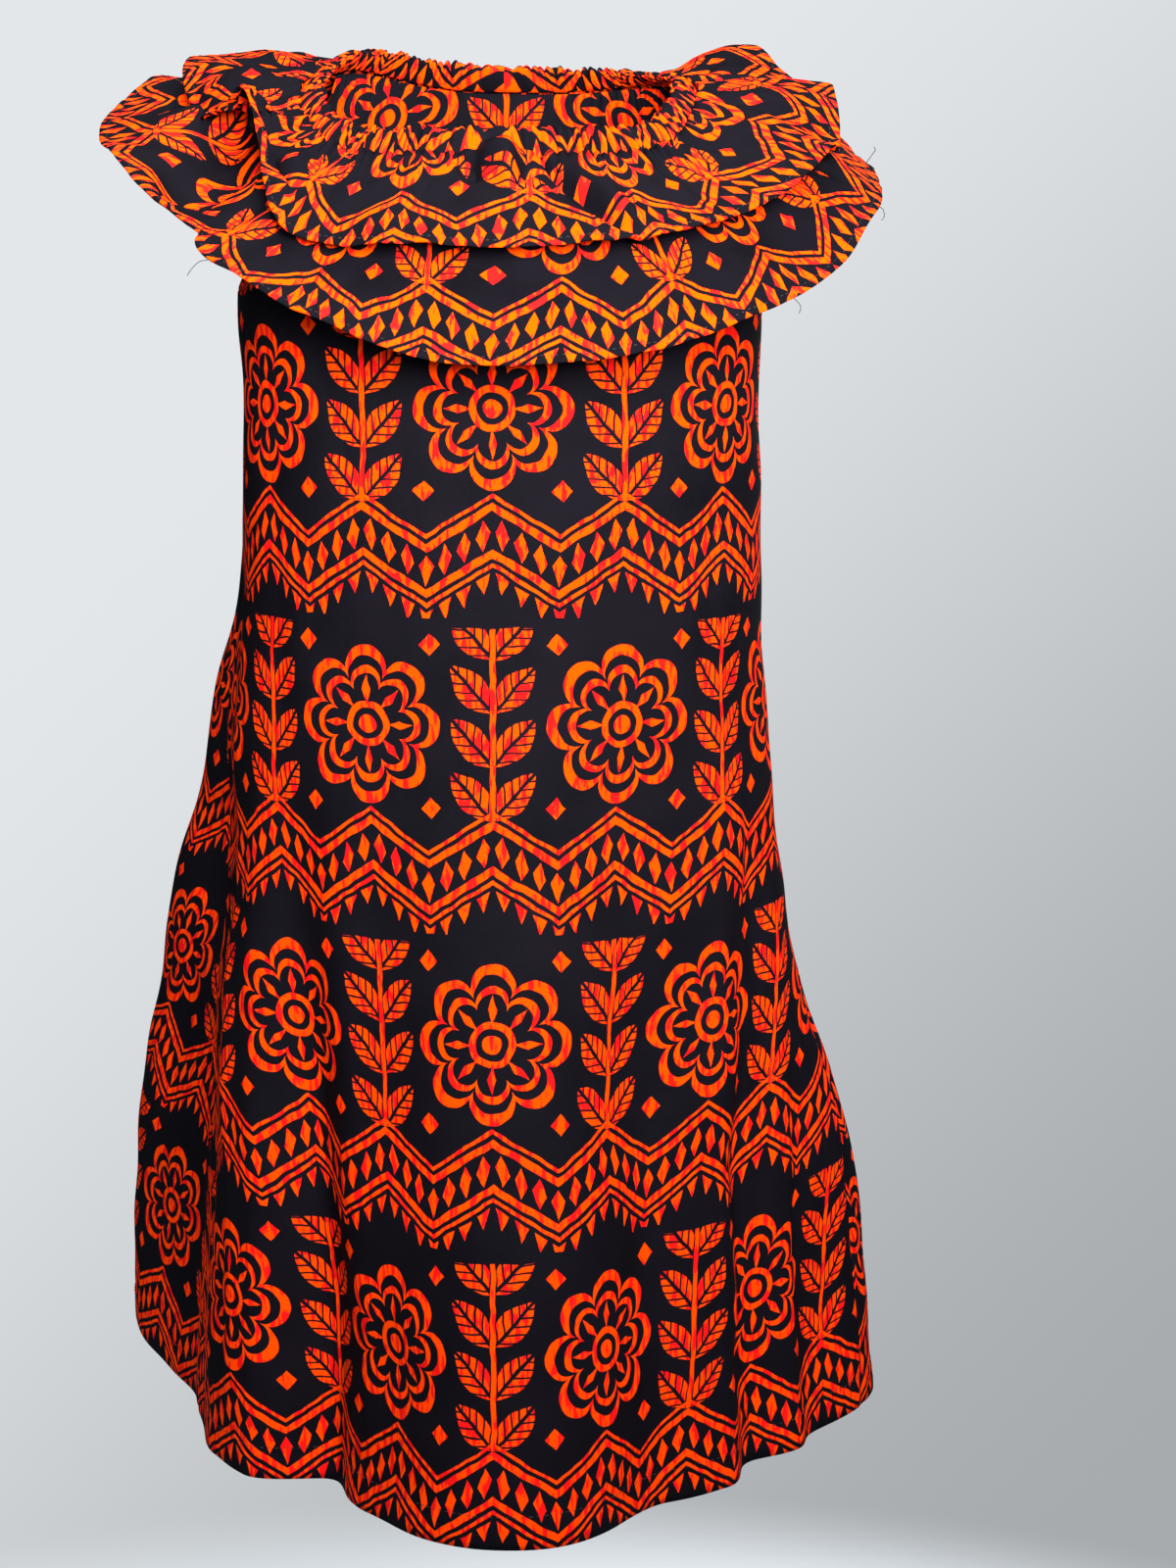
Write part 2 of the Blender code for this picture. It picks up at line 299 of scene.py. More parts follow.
def unevenness(points, size, seed):
    """A smooth random field in space, from about -1 to 1, with swells of about one size."""
    waves = np.random.default_rng(seed)
    total = np.zeros(points.shape[:-1])
    for _ in range(10):
        turn = unit(waves.normal(size=3)) * math.tau / (size * waves.uniform(0.7, 1.5))
        total += np.sin(points @ turn + waves.uniform(0, math.tau))
    return total / 3.2


def swells(bearing, beats, seed):
    """A smooth random value round the neck, from about -1 to 1."""
    waves = np.random.default_rng(seed)
    turn = np.radians(bearing)
    return sum(np.sin(k * turn + waves.uniform(0, math.tau)) for k in beats) / len(beats) ** 0.5


def ridges(bearing, count, slip, seed):
    """Gathers round a seam: rounded ridges with narrow valleys, about so many of them, unevenly
    spaced and of uneven height, which is mostly between 0 and 1."""
    shift = slip * swells(bearing, range(2, 17, 2), seed)
    height = np.clip(0.74 + 0.30 * swells(bearing, (5, 9, 14, 23, 31, 40), seed + 1), 0.15, 1.2)
    wave = np.sin(count * np.radians(bearing) / 2 + shift)
    return np.sqrt(wave * wave + 0.015) * height


def gathered(bearing, away):
    """How far gathered cloth stands off its seam, at distances away from it. The gathers lean, run
    out at different distances, and are deepest over the shoulders."""
    leaning = bearing + 1.1 * swells(bearing, (6, 7, 11), 2) * away / 0.01
    shoulder = 0.75 + 0.55 * (nearness(bearing, -82, 62) + nearness(bearing, 82, 62))
    reach = 0.011 + 0.007 * np.abs(swells(bearing, (4, 9, 15, 22), 4)) * shoulder
    fine = ridges(leaning, 132, 1.6, 3) * (1 - eased(away / reach))
    some = np.clip(0.45 + 0.7 * swells(bearing, (3, 8, 13), 6), 0, 1)
    middling = some * ridges(leaning, 46, 1.2, 5) * (1 - eased((away - 0.008) / 0.030))
    broad = ridges(bearing, 19, 0.8, 8)
    broad = broad * eased(away / 0.020) * (1 - eased((away - 0.030) / 0.050))
    return 0.0023 * fine + (0.0022 * middling + 0.0016 * broad) * shoulder


def creased(across, down, creases):
    """The height of creases, at places on the cloth. Each has a path, its half width,
    its height, and how strong it is at its two ends. Below 0 it is a trough."""
    total = np.zeros_like(across)
    for path, width, height, first, last in creases:
        knots = np.asarray(path, float)
        spots = np.linspace(0, len(knots) - 1, 8 * (len(knots) - 1) + 1)
        curve = [through(np.arange(len(knots)), knots[:, k], spots) for k in (0, 1)]
        curve = np.stack(curve, axis=1)
        nearest = np.full(across.shape, 1e9)
        share = np.zeros_like(across)
        for i in range(len(curve) - 1):
            start, step = curve[i], curve[i + 1] - curve[i]
            on = np.clip(((across - start[0]) * step[0] + (down - start[1]) * step[1])
                         / max(step @ step, 1e-12), 0, 1)
            gap = np.hypot(across - start[0] - on * step[0], down - start[1] - on * step[1])
            closer = gap < nearest
            nearest = np.where(closer, gap, nearest)
            share = np.where(closer, (i + on) / (len(curve) - 1), share)
        strength = np.where(share < 0.5, first + (1 - first) * eased(share * 2),
                            last + (1 - last) * eased(2 - share * 2))
        half = width * (0.75 + 0.5 * strength)
        total += height * strength * np.exp(-(nearest / half) ** 2)
    return total


def lattice_normals(points, closed=False):
    """The outward direction at each place of a lattice."""
    if closed:
        ring = points[:, :-1]
        ahead = np.roll(ring, -1, axis=1) - np.roll(ring, 1, axis=1)
        ahead = np.concatenate([ahead, ahead[:, :1]], axis=1)
    else:
        ahead = np.gradient(points, axis=1)
    return unit(np.cross(np.gradient(points, axis=0), ahead))


def run_along(points, axis):
    """The distance along each row or column of a lattice, from its first place."""
    steps = np.linalg.norm(np.diff(points, axis=axis), axis=2)
    lengths = np.zeros(points.shape[:2])
    if axis == 1:
        lengths[:, 1:] = np.cumsum(steps, axis=1)
    else:
        lengths[1:] = np.cumsum(steps, axis=0)
    return lengths


def shown(name, shape):
    """Puts a finished bmesh into the scene as a piece."""
    mesh = bpy.data.meshes.new(name)
    shape.to_mesh(mesh)
    shape.free()
    piece = bpy.data.objects.new(name, mesh)
    bpy.context.scene.collection.objects.link(piece)
    return piece


def woven(name, points, flat, closed=False):
    """Puts a lattice on a grid of cloth. Flat holds the same places on the uncut cloth."""
    rows, columns = points.shape[0] - 1, points.shape[1] - 1
    grid = bmesh.new()
    bmesh.ops.create_grid(grid, x_segments=columns, y_segments=rows, size=0.5)
    piece = shown(name, grid)
    mesh = piece.data
    places = np.empty(len(mesh.vertices) * 3)
    mesh.vertices.foreach_get("co", places)
    places = places.reshape(-1, 3)
    column = np.rint((places[:, 0] + 0.5) * columns).astype(int)
    row = np.rint((places[:, 1] + 0.5) * rows).astype(int)
    mesh.vertices.foreach_set("co", points[row, column].ravel())
    corners = np.empty(len(mesh.loops), dtype=np.int32)
    mesh.loops.foreach_get("vertex_index", corners)
    uv = mesh.uv_layers.new(name="cloth")
    uv.data.foreach_set("uv", flat[row, column][corners].ravel())
    cloth = bmesh.new()
    cloth.from_mesh(mesh)
    if closed:
        bmesh.ops.remove_doubles(cloth, verts=cloth.verts, dist=1e-6)
    bmesh.ops.reverse_faces(cloth, faces=cloth.faces)
    cloth.to_mesh(mesh)
    cloth.free()
    mesh.shade_smooth()
    return piece


def walled(piece, thickness):
    """Gives a sheet its thickness."""
    wall = piece.modifiers.new("wall", "SOLIDIFY")
    wall.thickness = thickness
    wall.offset = 0.0
    wall.use_rim = True


def hem_rows(hem):
    """Distances past the free edge at which a folded hem has its rows."""
    turn = np.array([0.0002, 0.0005, 0.0009, 0.0014])
    return np.concatenate([turn, np.linspace(0.0022, hem, 4)])


# Body

def body_rows():
    """How far up each row of a panel is, and for the rows of the hem the distance past its fold."""
    yoke = np.linspace(1, 0, YOKE_ROWS, endpoint=False)
    skirt = -np.linspace(0, 1, SKIRT_ROWS) ** 0.93
    up = np.concatenate([yoke, skirt, np.full(len(hem_rows(BODY_HEM)), -1.0)])
    past = np.concatenate([np.zeros(YOKE_ROWS + SKIRT_ROWS), hem_rows(BODY_HEM)])
    return up, past


# Creases of the body: places on the cloth from the middle of the panel and up from the underarm,
# the half width, the height, and how strong each is at its two ends
FRONT_CREASES = (
    (((-0.107, -0.200), (-0.041, -0.197), (0.006, -0.193), (0.054, -0.193), (0.087, -0.197)),
     0.0016, 0.0008, 0.3, 0.3),
    (((0.110, -0.129), (0.110, -0.203), (0.131, -0.285), (0.140, -0.365), (0.141, -0.440)),
     0.0042, 0.0013, 0.2, 0.8),
    (((-0.128, -0.110), (-0.136, -0.200), (-0.146, -0.300), (-0.150, -0.420)), 0.0048, 0.0012, 0.2, 0.7),
    (((-0.098, -0.060), (-0.092, -0.130), (-0.098, -0.215)), 0.0060, -0.0011, 0.4, 0.1),
    (((0.094, -0.045), (0.090, -0.110), (0.082, -0.180)), 0.0055, -0.0010, 0.5, 0.0),
    (((0.070, -0.020), (0.050, -0.055), (0.036, -0.095)), 0.0050, 0.0010, 0.5, 0.0),
    (((-0.074, -0.016), (-0.060, -0.050), (-0.052, -0.090)), 0.0046, -0.0009, 0.5, 0.0),
    (((-0.052, -0.250), (-0.062, -0.330), (-0.066, -0.440)), 0.0085, 0.0013, 0.1, 0.6),
    (((0.062, -0.260), (0.070, -0.350), (0.066, -0.450)), 0.0090, -0.0012, 0.1, 0.5),
    (((0.204, -0.372), (0.214, -0.386), (0.224, -0.396)), 0.0050, -0.0022, 0.3, 0.8),
    (((0.176, -0.300), (0.184, -0.360), (0.182, -0.430)), 0.0060, 0.0012, 0.2, 0.4),
    (((-0.180, -0.280), (-0.187, -0.350), (-0.184, -0.440)), 0.0060, -0.0012, 0.2, 0.5),
)
BACK_CREASES = (
    (((-0.094, -0.204), (-0.038, -0.199), (0.012, -0.203), (0.070, -0.198)), 0.0017, 0.0008, 0.3, 0.2),
    (((-0.118, -0.120), (-0.132, -0.220), (-0.150, -0.330), (-0.152, -0.440)), 0.0046, 0.0013, 0.2, 0.7),
    (((0.112, -0.140), (0.128, -0.240), (0.136, -0.340), (0.150, -0.450)), 0.0050, 0.0012, 0.2, 0.7),
    (((0.020, -0.150), (0.014, -0.250), (0.004, -0.360)), 0.0080, -0.0013, 0.1, 0.4),
    (((-0.060, -0.020), (-0.068, -0.080), (-0.062, -0.150)), 0.0056, -0.0011, 0.5, 0.0),
    (((0.080, -0.030), (0.076, -0.100), (0.088, -0.170)), 0.0060, 0.0011, 0.5, 0.1),
    (((0.034, -0.010), (0.026, -0.050), (0.024, -0.100)), 0.0048, 0.0009, 0.5, 0.0),
    (((0.196, -0.200), (0.214, -0.300), (0.236, -0.420)), 0.0080, -0.0014, 0.2, 0.5),
    (((-0.190, -0.220), (-0.214, -0.320), (-0.222, -0.430)), 0.0070, 0.0013, 0.2, 0.5),
    (((0.062, -0.300), (0.070, -0.380), (0.066, -0.452)), 0.0076, -0.0012, 0.1, 0.6),
)


def body_cloth(name, middle, creases):
    """The front or the back of the dress, with its side edges dipped into the seams. It is worked
    out one column further on each side, so that both panels face the same way at a seam."""
    up, past = body_rows()
    spread = np.linspace(-1, 1, BODY_COLUMNS + 1)
    across = np.sign(spread) * (1 - (1 - np.abs(spread)) ** 1.18)
    across = np.concatenate([[2 * across[0] - across[1]], across, [2 * across[-1] - across[-2]]])
    up, across = np.meshgrid(up + past / SKIRT_LENGTH, across, indexing="ij")
    past = past[:, None]
    sign = np.where(past > 0, -1.0, 1.0)
    points = panel_point(middle, across.ravel(), up.ravel()).reshape(*up.shape, 3)
    bearing = middle + across * side_edge(up.ravel()).reshape(up.shape)
    aside = run_along(points, 1)
    aside -= aside[:, [BODY_COLUMNS // 2 + 1]]
    edge = np.where(aside > 0, aside[:, [-2]] - aside, aside - aside[:, [1]])
    from_neck = run_along(points, 0)
    below = np.where(past > 0, SKIRT_LENGTH + past, from_neck - from_neck[YOKE_ROWS])

    (swell, swell_size), (rumple, rumple_size) = BODY_UNEVENNESS
    lift = creased(aside, -below, creases) * eased(edge / SEAM_CALM)
    lift += swell * unevenness(points, swell_size, 21) * eased(-up * 3)
    lift += rumple * unevenness(points, rumple_size, 22)
    lift += PANEL_GATHERS * gathered(bearing, from_neck)
    lift -= SEAM_DIP * (1 - eased(edge / SEAM_DIP_WIDTH)) * (up <= 0)
    beside_armhole = (up > 0) * (up < 0.97)
    from_hem = edge - ARMHOLE_HEM
    lift += beside_armhole * ARMHOLE_HEM_STEP * (1 - eased(from_hem / 0.001)
                                                 - np.exp(-((from_hem + 0.001) / 0.0009) ** 2))
    doubled = eased((SKIRT_LENGTH - BODY_HEM - below + 0.0006) / -0.0012) * (past == 0)
    lift += BODY_HEM_STEP * doubled
    lift -= BODY_HEM_STEP * np.exp(-((below - (SKIRT_LENGTH - BODY_STITCHES)) / 0.0012) ** 2)

    points = points + lattice_normals(points) * (sign * lift)[..., None]
    facing = lattice_normals(points) * sign[..., None]
    points = points - facing * (FOLD_GAP * eased(past / (1.6 * FOLD_GAP)))[..., None]
    points, facing, below, aside = (part[:, 1:-1] for part in (points, facing, below, aside))
    return woven(name, points, np.stack([aside, -below], axis=2)), points, facing, below


# Frill

def tier_lattice(rings, folds, rows):
    """A whole tier round the neck, with a folded hem: its places and bearings, how far down the
    tier each place is, and for the rows of the hem the distance past its fold."""
    bearing = np.linspace(-180, 180, FRILL_COLUMNS + 1)
    open_rows = 1 - (1 - np.linspace(0, 1, rows)) ** 1.35
    past = np.concatenate([np.zeros(rows), hem_rows(FRILL_HEM)])
    shape = (len(past), len(bearing))
    ends = [tier_point(rings, bearing, np.full_like(bearing, along)) for along in (0.0, 1.0)]
    depth = np.linalg.norm(ends[1] - ends[0], axis=1)
    along = np.concatenate([open_rows, np.ones(len(past) - rows)])[:, None] - past[:, None] / depth
    turn = np.broadcast_to(bearing, shape)
    points = tier_point(rings, turn.ravel(), along.ravel()).reshape(*shape, 3)
    for fold, half_width, rise, reach, start in folds:
        grown = nearness(turn, fold, half_width) * eased((along - start) / (1 - start))
        away = outwards(turn.ravel()).reshape(*shape, 3) * reach + np.array([0, 0, rise])
        points = points + away * grown[..., None]
    return points, turn, along, past


# Free edges over the -X shoulder, where the upper tier turns over in a flute and the lower one
# has a notch: bearings and places
UPPER_EDGE = (
    (-112.0, (-0.1209, 0.048, 0.0122)),
    (-107.6, (-0.1232, 0.038, 0.0116)),
    (-101.2, (-0.1246, 0.024, 0.0077)),
    (-95.6, (-0.1235, 0.012, 0.0026)),
    (-89.5, (-0.1209, 0.000, -0.0043)),
    (-84.1, (-0.1172, -0.010, -0.0110)),
    (-80.8, (-0.1146, -0.016, -0.0146)),
    (-76.8, (-0.1099, -0.024, -0.0131)),
    (-73.5, (-0.1054, -0.030, -0.0119)),
    (-70.3, (-0.1010, -0.036, -0.0125)),
    (-67.1, (-0.0995, -0.042, -0.0085)),
    (-63.6, (-0.0958, -0.048, -0.0045)),
    (-59.9, (-0.0915, -0.055, -0.0070)),
    (-56.0, (-0.0891, -0.061, -0.0132)),
    (-52.1, (-0.0872, -0.067, -0.0197)),
    (-47.9, (-0.0853, -0.073, -0.0269)),
    (-43.9, (-0.0842, -0.078, -0.0347)),
    (-40.1, (-0.0823, -0.083, -0.0418)),
    (-36.5, (-0.0805, -0.088, -0.0481)),
    (-32.3, (-0.0759, -0.093, -0.0551)),
    (-28.7, (-0.0693, -0.0965, -0.0589)),
    (-24.5, (-0.0604, -0.0995, -0.0610)),
)
LOWER_EDGE = (
    (-70.0, (-0.1436, -0.0460, -0.0275)),
    (-64.9, (-0.1373, -0.0570, -0.0335)),
    (-60.1, (-0.1310, -0.0670, -0.0397)),
    (-54.8, (-0.1225, -0.0775, -0.0459)),
    (-51.1, (-0.1160, -0.0840, -0.0501)),
    (-48.0, (-0.1102, -0.0890, -0.0544)),
    (-45.4, (-0.1066, -0.0850, -0.0578)),
    (-42.7, (-0.1072, -0.0910, -0.0609)),
    (-40.1, (-0.1042, -0.0960, -0.0648)),
    (-37.2, (-0.0982, -0.1000, -0.0685)),
    (-34.3, (-0.0916, -0.1035, -0.0716)),
    (-31.2, (-0.0850, -0.1070, -0.0757)),
    (-27.0, (-0.0754, -0.1100, -0.0818)),
)
# Slack cloth that swells out between the seam and the edge: bearing, half_width, height
UPPER_SLACK = ((-42, 13, 0.0035), (-66, 10, 0.0062), (-92, 14, 0.0040))

# Creases of the tiers: bearings and distances down from the seam, the half width, the height,
# and how strong each is at its two ends
ARC = math.radians(1) * 0.105
UPPER_CREASES = (
    (((0.5, 0.001), (0.8, 0.012), (1.2, 0.024)), 0.0021, 0.0074, 1.0, 0.1),
    (((-4.0, 0.002), (-1.6, 0.010), (0.0, 0.021)), 0.0019, -0.0060, 0.7, 0.2),
    (((5.5, 0.002), (3.0, 0.010), (1.8, 0.021)), 0.0019, -0.0060, 0.8, 0.2),
    (((5.0, 0.009), (12.0, 0.026), (20.0, 0.047)), 0.0027, -0.0072, 0.9, 0.3),
    (((9.5, 0.007), (16.0, 0.023), (24.0, 0.044)), 0.0040, 0.0048, 0.4, 0.2),
    (((-7.0, 0.010), (-14.0, 0.016), (-24.0, 0.020)), 0.0028, 0.0024, 0.6, 0.0),
    (((-10.0, 0.018), (-19.0, 0.027), (-27.0, 0.030)), 0.0044, -0.0022, 0.2, 0.0),
    (((-60.0, 0.022), (-52.0, 0.027), (-43.0, 0.031), (-33.0, 0.036)), 0.0040, -0.0046, 0.3, 0.1),
    (((-62.0, 0.040), (-54.0, 0.043), (-45.0, 0.048), (-37.0, 0.052)), 0.0042, 0.0034, 0.2, 0.1),
    (((-36.0, 0.001), (-39.0, 0.011), (-43.0, 0.022)), 0.0022, -0.0018, 0.9, 0.1),
    (((-41.0, 0.001), (-45.0, 0.011), (-49.0, 0.021)), 0.0024, 0.0018, 1.0, 0.1),
    (((-47.0, 0.000), (-51.0, 0.014), (-58.0, 0.024)), 0.0018, -0.0019, 1.0, 0.1),
    (((-62.0, 0.000), (-62.0, 0.020), (-61.0, 0.046)), 0.0030, 0.0022, 0.9, 0.3),
    (((-73.0, 0.000), (-74.0, 0.018), (-77.0, 0.040)), 0.0026, -0.0026, 1.0, 0.3),
    (((-84.0, 0.000), (-88.0, 0.018), (-90.0, 0.036)), 0.0024, 0.0020, 1.0, 0.1),
    (((-93.0, 0.000), (-97.0, 0.014), (-104.0, 0.026)), 0.0020, -0.0020, 1.0, 0.0),
    (((-112.0, 0.001), (-114.0, 0.016), (-119.0, 0.034)), 0.0028, 0.0018, 0.9, 0.1),
    (((-131.0, 0.001), (-129.0, 0.014), (-126.0, 0.027)), 0.0022, -0.0017, 0.9, 0.0),
    (((-150.0, 0.002), (-152.0, 0.020), (-157.0, 0.038)), 0.0032, 0.0014, 0.7, 0.1),
    (((-171.0, 0.001), (-170.0, 0.013), (-167.0, 0.022)), 0.0020, -0.0016, 0.9, 0.0),
    (((34.0, 0.002), (38.0, 0.014), (45.0, 0.026)), 0.0022, -0.0016, 0.8, 0.0),
    (((43.0, 0.001), (49.0, 0.016), (57.0, 0.034)), 0.0026, 0.0019, 0.9, 0.1),
    (((52.0, 0.000), (58.0, 0.013), (66.0, 0.026)), 0.0019, -0.0021, 1.0, 0.1),
    (((68.0, 0.000), (70.0, 0.018), (71.0, 0.040)), 0.0030, 0.0017, 0.9, 0.2),
    (((79.0, 0.000), (81.0, 0.015), (84.0, 0.033)), 0.0022, -0.0023, 1.0, 0.1),
    (((90.0, 0.000), (92.0, 0.018), (93.0, 0.042)), 0.0026, 0.0018, 1.0, 0.3),
    (((103.0, 0.000), (102.0, 0.014), (104.0, 0.029)), 0.0021, -0.0021, 1.0, 0.0),
    (((120.0, 0.001), (123.0, 0.018), (127.0, 0.038)), 0.0030, 0.0017, 0.8, 0.1),
    (((141.0, 0.001), (139.0, 0.013), (136.0, 0.024)), 0.0021, -0.0017, 0.9, 0.0),
    (((158.0, 0.002), (161.0, 0.019), (166.0, 0.036)), 0.0030, 0.0014, 0.7, 0.1),
)
LOWER_CREASES = (
    (((-68.0, 0.014), (-64.5, 0.032), (-59.0, 0.054), (-54.0, 0.074)), 0.0085, -0.0120, 0.5, 0.1),
    (((-88.0, 0.020), (-78.0, 0.028), (-69.0, 0.034)), 0.0095, -0.0130, 0.1, 0.8),
    (((-14.0, 0.050), (-18.0, 0.070), (-21.0, 0.092)), 0.0045, 0.0014, 0.2, 0.3),
    (((16.0, 0.046), (22.0, 0.068), (25.0, 0.090)), 0.0040, -0.0013, 0.2, 0.2),
    (((38.0, 0.040), (44.0, 0.060), (50.0, 0.078)), 0.0038, 0.0015, 0.2, 0.2),
    (((-34.0, 0.052), (-41.0, 0.072), (-44.0, 0.092)), 0.0030, -0.0016, 0.2, 0.5),
    (((-66.0, 0.030), (-70.0, 0.052), (-72.0, 0.074)), 0.0040, 0.0018, 0.4, 0.3),
    (((-88.0, 0.024), (-92.0, 0.044), (-98.0, 0.060)), 0.0034, -0.0018, 0.5, 0.2),
    (((-118.0, 0.028), (-122.0, 0.050), (-128.0, 0.070)), 0.0042, 0.0017, 0.4, 0.2),
    (((-152.0, 0.030), (-150.0, 0.052), (-146.0, 0.074)), 0.0036, -0.0014, 0.3, 0.1),
    (((74.0, 0.026), (78.0, 0.046), (80.0, 0.066)), 0.0036, -0.0017, 0.5, 0.2),
    (((98.0, 0.024), (101.0, 0.044), (106.0, 0.062)), 0.0038, 0.0018, 0.5, 0.2),
    (((128.0, 0.030), (131.0, 0.050), (137.0, 0.068)), 0.0036, -0.0015, 0.3, 0.1),
    (((162.0, 0.030), (160.0, 0.050), (157.0, 0.074)), 0.0042, 0.0015, 0.3, 0.2),
)


def led(points, bearing, along, edge_row, edge, held):
    """A tier whose free edge is led through given places, with the cloth above following.
    It follows less towards the seam, the more so the more it is held."""
    knots = np.array([knot for knot, _ in edge], float)
    around = bearing[edge_row]
    now = np.stack([np.interp(knots, around, points[edge_row, :, k]) for k in range(3)], axis=1)
    shift = np.array([place for _, place in edge]) - now
    knots = np.concatenate([[knots[0] - 12], knots, [knots[-1] + 10]])
    shift = np.concatenate([np.zeros((1, 3)), shift, np.zeros((1, 3))])
    inside = (around > knots[0]) & (around < knots[-1])
    moved = np.stack([through(knots, shift[:, k], around) for k in range(3)], axis=1)
    follows = np.clip((along - 0.08) / 0.92, 0, 1) ** held
    return points + (moved * inside[:, None])[None] * follows[..., None]


def frill_tier(name, rings, folds, creases, edge, held, slack, layer, rows, print_start, seed):
    """One tier of the frill, gathered at its seam and hemmed at its free edge."""
    points, bearing, along, past = tier_lattice(rings, folds, rows)
    past = past[:, None]
    sign = np.where(past > 0, -1.0, 1.0)
    down = run_along(points, 0)
    length = down[rows - 1]
    down = np.where(past > 0, length + past, down)
    on_top = np.where(past > 0, length - past, down)
    from_edge = length - on_top

    (swell, swell_size), (rumple, rumple_size) = FRILL_UNEVENNESS
    placed = [([(turn * ARC, spot) for turn, spot in path], *sizes) for path, *sizes in creases]
    lift = layer * LAYER_STEP + gathered(bearing, on_top)
    lift += creased(bearing * ARC, on_top, placed)
    lift += swell * unevenness(points, swell_size, seed) * eased(on_top / 0.03)
    lift += rumple * unevenness(points, rumple_size, seed + 1)
    lift += FRILL_PUCKER * ridges(bearing, 130, 1.5, seed + 2) * (1 - eased(from_edge / 0.007))
    lift += FRILL_HEM_STEP * (1 - eased((from_edge - FRILL_HEM) / 0.0008)) * (past == 0)
    lift -= FRILL_PUCKER * np.exp(-((from_edge - FRILL_STITCHES) / 0.0007) ** 2)

    facing = lattice_normals(points, closed=True) * sign[..., None]
    points = led(points + facing * lift[..., None], bearing, along, rows - 1, edge, held)
    facing = lattice_normals(points, closed=True) * sign[..., None]
    bulge = np.sin(np.pi * np.clip(along, 0, 1)) ** 1.3
    for middle, half_width, height in slack:
        points = points + facing * (height * bulge * nearness(bearing, middle, half_width))[..., None]
    facing = lattice_normals(points, closed=True) * sign[..., None]
    points = points - facing * (FOLD_GAP * eased(past / (1.6 * FOLD_GAP)))[..., None]
    points[:, -1] = points[:, 0]
    hem = run_along(points, 1)[rows - 2]
    flat = np.stack([np.broadcast_to(hem - hem[FRILL_COLUMNS // 2], down.shape), -down], axis=2)
    flat += np.array(print_start)
    return woven(name, points, flat, closed=True), points, facing, from_edge


# Neckline

CASING_PRINT = 0.036  # where the casing's cut starts on the printed cloth


def neckline():
    """The elastic casing: a flat tube of cloth, ruched all round."""
    bearing = np.linspace(-180, 180, BAND_COLUMNS + 1)
    section = np.linspace(0, 1, BAND_SIDES + 1)
    top, foot = ring_point(BAND_TOP, bearing), ring_point(BAND_FOOT, bearing)
    fall = unit(foot - top)
    ahead = np.roll(top[:-1], -1, axis=0) - np.roll(top[:-1], 1, axis=0)
    ahead = unit(np.concatenate([ahead, ahead[:1]]))
    out = unit(np.cross(fall, ahead))
    height = np.linalg.norm(foot - top, axis=1)
    turn = math.tau * section[:, None]
    bulge = np.sign(np.sin(turn)) * np.abs(np.sin(turn)) ** 0.8
    share = 0.5 - 0.5 * np.cos(turn)
    leaning = bearing[None] + 1.3 * swells(bearing, (6, 7, 11), 2)[None] * (share - 0.8)
    fine = ridges(leaning, 132, 1.6, 3)
    coarse = ridges(leaning, 46, 1.2, 5)
    small = ridges(leaning + 2.0 * (share - 0.5) ** 2, 214, 2.2, 11)
    puff = 0.0018 * fine + 0.0010 * coarse + 0.0006 * small
    side = bulge * np.where(bulge > 0, 0.0004 + puff, 0.0005 + 0.4 * puff)
    ruffled = 0.0016 * (fine + small - 1.1) + 0.0009 * (coarse - 0.5)
    heading = -ruffled * (1 - share) ** 2
    lean = 0.0010 * swells(bearing, (9, 17, 26), 12)[None] * (share - 0.5)
    points = (top[None] + fall[None] * (share * height[None] * 1.05 + heading)[..., None]
              + out[None] * side[..., None] + ahead[None] * lean[..., None])
    points[-1] = points[0]
    points[:, -1] = points[:, 0]
    edge = bearing / 360 * CASING_CUT[0]
    flat = np.broadcast_arrays(edge[None], CASING_PRINT - CASING_CUT[1] * section[:, None])
    flat = np.stack(flat, axis=2)
    return woven("neckline_casing", points, flat, closed=True)


# Sewing thread

def stitched(name, lines, pitch, length, material):
    """Stitches along lines, each with its places and the directions out of the cloth."""
    bed = bmesh.new()
    for places, facing in lines:
        run = np.concatenate([[0], np.cumsum(np.linalg.norm(np.diff(places, axis=0), axis=1))])
        for start in np.arange(pitch / 2, run[-1] - length, pitch):
            spots = [[np.interp(start + part * length, run, places[:, k]) for k in range(3)]
                     for part in (0.0, 0.5, 1.0)]
            out = Vector([np.interp(start + length / 2, run, facing[:, k]) for k in range(3)])
            out.normalize()
            first, middle, last = (Vector(spot) for spot in spots)
            along = (last - first).normalized()
            aside = out.cross(along).normalized()
            out = along.cross(aside)
            placed = Matrix((along * length / 2, aside * THREAD, out * THREAD)).transposed().to_4x4()
            placed.translation = middle + out * (CLOTH / 2 + STITCH_LIFT * THREAD)
            bmesh.ops.create_icosphere(bed, subdivisions=1, radius=1.0, matrix=placed)
    piece = shown(name, bed)
    piece.data.shade_smooth()
    piece.data.materials.append(material)
    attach(piece, "root")
    return piece


# Materials

